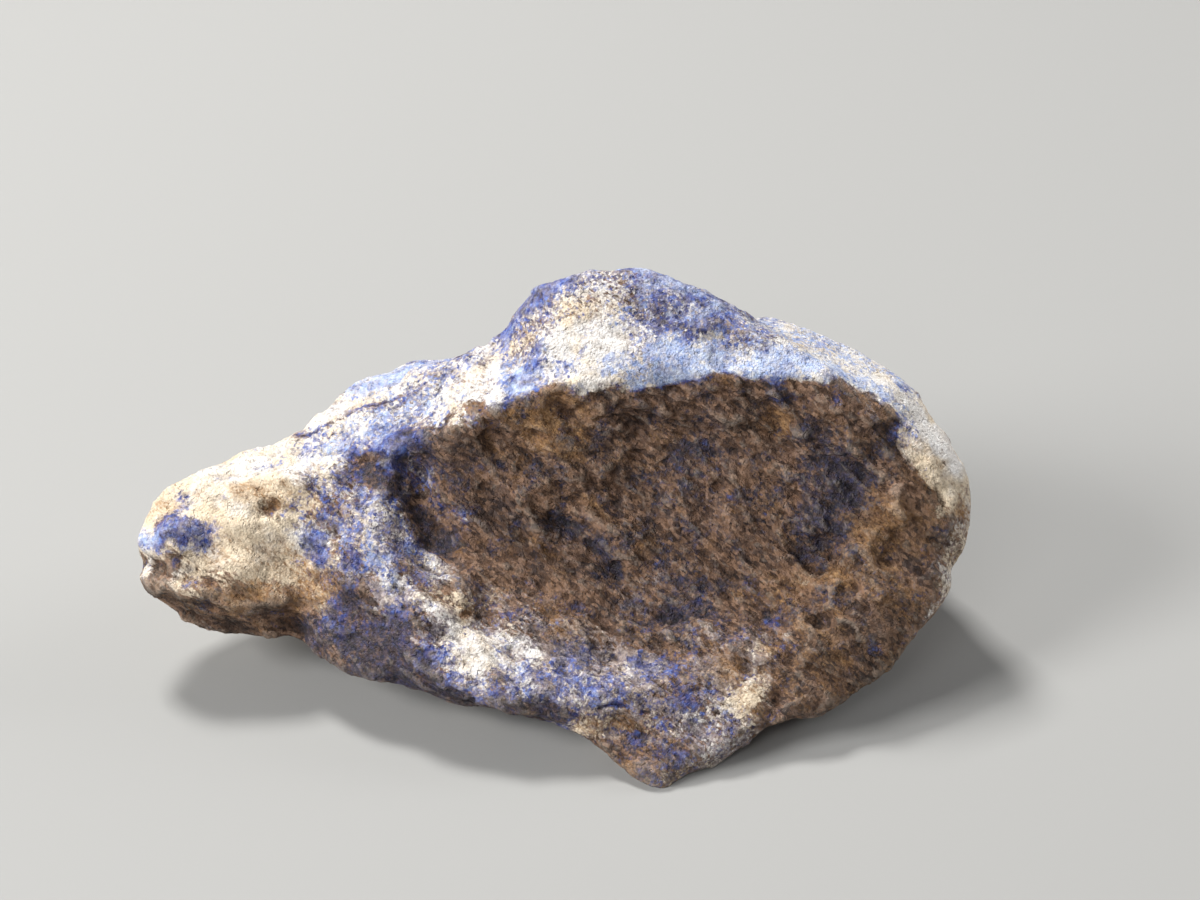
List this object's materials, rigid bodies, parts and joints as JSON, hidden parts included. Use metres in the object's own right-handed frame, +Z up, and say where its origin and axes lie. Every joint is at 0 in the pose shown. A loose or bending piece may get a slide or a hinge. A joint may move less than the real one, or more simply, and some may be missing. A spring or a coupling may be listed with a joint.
{
  "type": "rough lapis lazuli stone",
  "caption": "Rough broken lump of lapis lazuli with a wide scooped face under a rounded crest, a tapering snout and a pointed toe; it rests on a flat underside.",
  "frame": {"origin": "middle of the bounding box at the level of the flat underside", "axes": "+X along the stone's length, away from the tapering snout; +Y to the back, away from the scooped face; +Z up"},
  "size_m": [0.065, 0.037, 0.0298],
  "materials": {
    "lapis_rock": "rough broken rock: deep blue, pale blue-white and ochre-brown grains, mostly matt"
  },
  "bodies": {
    "root": {"lapis_stone": "lapis_rock"}
  },
  "joints": []
}
